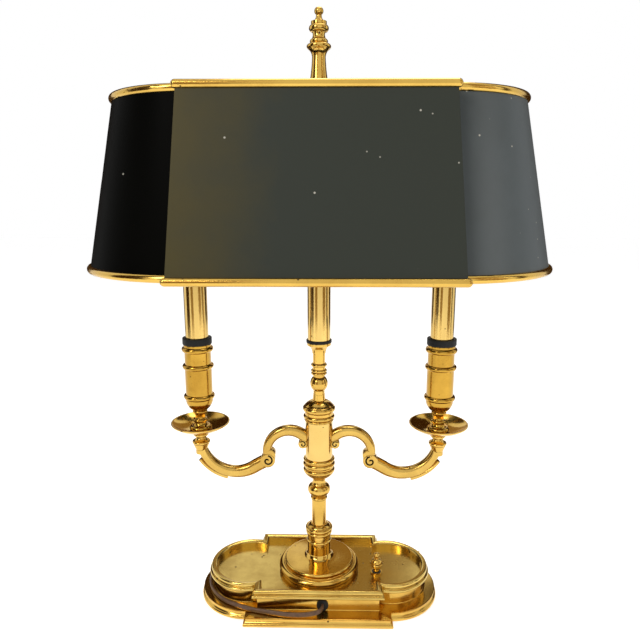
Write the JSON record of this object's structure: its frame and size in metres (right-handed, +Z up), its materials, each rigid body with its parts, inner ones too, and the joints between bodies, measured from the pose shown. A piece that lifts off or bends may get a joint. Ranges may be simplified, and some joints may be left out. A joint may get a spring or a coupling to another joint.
{
  "type": "bouillotte lamp",
  "caption": "Brass table lamp with an oblong tray base, a turned column, candle tubes with bulbs on scroll arms, and a painted metal shade held by a finial on a rod.",
  "frame": {"origin": "centre of the base's underside, on the column's axis", "axes": "+Z up along the column, +X along the arms to the viewer's right, -Y towards the viewer"},
  "size_m": [0.4617, 0.2766, 0.619],
  "materials": {
    "polished_brass": "polished, slightly spotted",
    "raw_brass": "brushed",
    "painted_shade": "satin dark olive-green paint with small chips",
    "iron": "rough casting",
    "plated_steel": "zinc plated",
    "felt": "felt",
    "black_rubber": "matt",
    "black_plastic": "moulded",
    "brown_plastic": "moulded",
    "brown_cord": "extruded flat cord",
    "frosted_glass": "frosted"
  },
  "bodies": {
    "lamp": {"arm_screws": "plated_steel", "barrel": "polished_brass", "barrel_cap": "polished_brass", "barrel_foot": "polished_brass", "base_felt": "felt", "base_plinth": "polished_brass", "base_screws": "plated_steel", "base_tray": "polished_brass", "base_weight": "iron", "bottom_plate": "plated_steel", "centre_cup": "polished_brass", "centre_gasket": "black_rubber", "centre_pipe": "plated_steel", "centre_tube": "polished_brass", "centre_tube_cap": "polished_brass", "cord_free": "brown_cord", "cord_grommet": "black_rubber", "cord_hank": "brown_cord", "cord_tie": "black_rubber", "foot_collar": "polished_brass", "foot_dome": "polished_brass", "left_arm": "polished_brass", "left_bulb": "frosted_glass", "left_candle_cup": "polished_brass", "left_candle_tube": "polished_brass", "left_drip_pan": "polished_brass", "left_pan_knop": "polished_brass", "left_socket": "black_plastic", "lower_stem": "polished_brass", "pipe_nut": "plated_steel", "plug": "brown_plastic", "right_arm": "polished_brass", "right_bulb": "frosted_glass", "right_candle_cup": "polished_brass", "right_candle_tube": "polished_brass", "right_drip_pan": "polished_brass", "right_pan_knop": "polished_brass", "right_socket": "black_plastic", "riser_coupling": "polished_brass", "riser_rod": "polished_brass", "shade_seat": "polished_brass", "side_gaskets": "black_rubber", "spindle": "polished_brass", "stem_knop": "polished_brass", "studs": "plated_steel", "switch_body": "black_plastic", "switch_nut": "polished_brass"},
    "switch_knob": {"switch_knob": "polished_brass", "switch_shaft": "plated_steel"},
    "shade": {"shade_spider": "raw_brass", "shade_front": "painted_shade", "shade_back": "painted_shade", "shade_left": "painted_shade", "shade_right": "painted_shade", "top_bead": "polished_brass", "bottom_bead": "polished_brass", "finial_washer": "polished_brass"},
    "finial": {"finial_cone": "polished_brass", "finial_knob": "polished_brass"}
  },
  "joints": [
    {"name": "knob_turn", "type": "hinge", "parent": "lamp", "child": "switch_knob", "pos_m": [0.0645, -0.01, 0.035], "axis": [0, 0, 1], "continuous": true},
    {"name": "shade_swivel", "type": "hinge", "parent": "lamp", "child": "shade", "pos_m": [0, 0, 0.53], "axis": [0, 0, 1], "range_deg": [-45, 45]},
    {"name": "finial_turn", "type": "hinge", "parent": "lamp", "child": "finial", "pos_m": [0, 0, 0.56], "axis": [0, 0, 1], "range_deg": [0, 2880]}
  ]
}
